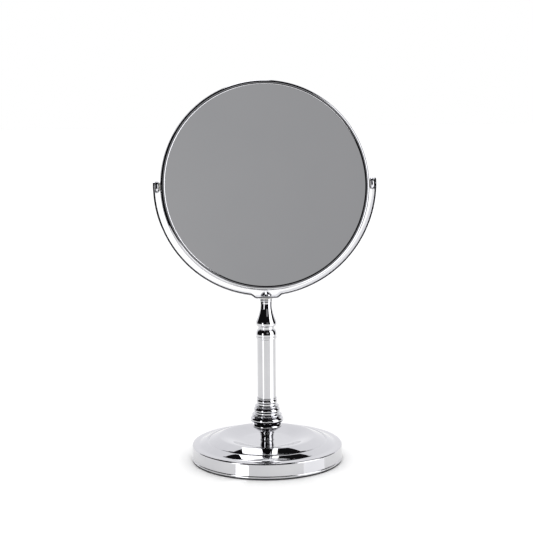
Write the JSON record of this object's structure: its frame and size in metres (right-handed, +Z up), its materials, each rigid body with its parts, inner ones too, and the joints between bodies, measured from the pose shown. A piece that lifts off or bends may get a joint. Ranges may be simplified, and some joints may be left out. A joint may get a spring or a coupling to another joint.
{
  "type": "pedestal vanity mirror",
  "caption": "Two-sided round chrome mirror that tilts in a U-shaped yoke on a turned column with a ribbed collar and a weighted round stepped foot.",
  "frame": {"origin": "centre of the foot's underside, on the surface it stands on", "axes": "+Z up the column, +X along the tilt axis towards the right-hand pivot, -Y towards the viewer of the plain mirror"},
  "size_m": [0.2214, 0.1532, 0.3805],
  "materials": {
    "chrome": "polished bright chrome plate",
    "mirror": "silvered glass",
    "iron": "raw casting, painted black",
    "steel": "zinc-plated",
    "nylon": "natural nylon",
    "black_plastic": "moulded",
    "foam": "closed-cell foam sheet",
    "pad": "dark non-slip pad"
  },
  "bodies": {
    "stand": {"base_pad": "pad", "base_shell": "chrome", "base_weight": "iron", "base_washer": "steel", "lock_washer": "steel", "base_nut": "steel", "tie_rod": "steel", "neck": "chrome", "beehive_collar": "chrome", "tube_plug_lower": "nylon", "column_tube": "chrome", "tube_plug_upper": "nylon", "top_ferrule": "chrome", "seat_washer": "nylon", "dome_nut": "chrome"},
    "yoke": {"yoke_strap": "chrome", "pivot_pin_left": "steel", "pivot_pin_right": "steel", "pivot_bead_left": "chrome", "pivot_bead_right": "chrome", "pivot_washer_left": "steel", "pivot_washer_right": "steel", "pivot_nut_left": "steel", "pivot_nut_right": "steel"},
    "head": {"front_bezel": "chrome", "frame_hoop": "chrome", "rear_bezel": "chrome", "plain_mirror": "mirror", "magnifying_mirror": "mirror", "glass_spacer": "black_plastic", "foam_disc": "foam", "pivot_bush_left": "nylon", "pivot_bush_right": "nylon"}
  },
  "joints": [
    {"name": "yoke_swivel", "type": "hinge", "parent": "stand", "child": "yoke", "pos_m": [0, 0, 0.1651], "axis": [0, 0, 1], "continuous": true},
    {"name": "head_tilt", "type": "hinge", "parent": "yoke", "child": "head", "pos_m": [0, 0, 0.2774], "axis": [1, 0, 0], "continuous": true}
  ]
}
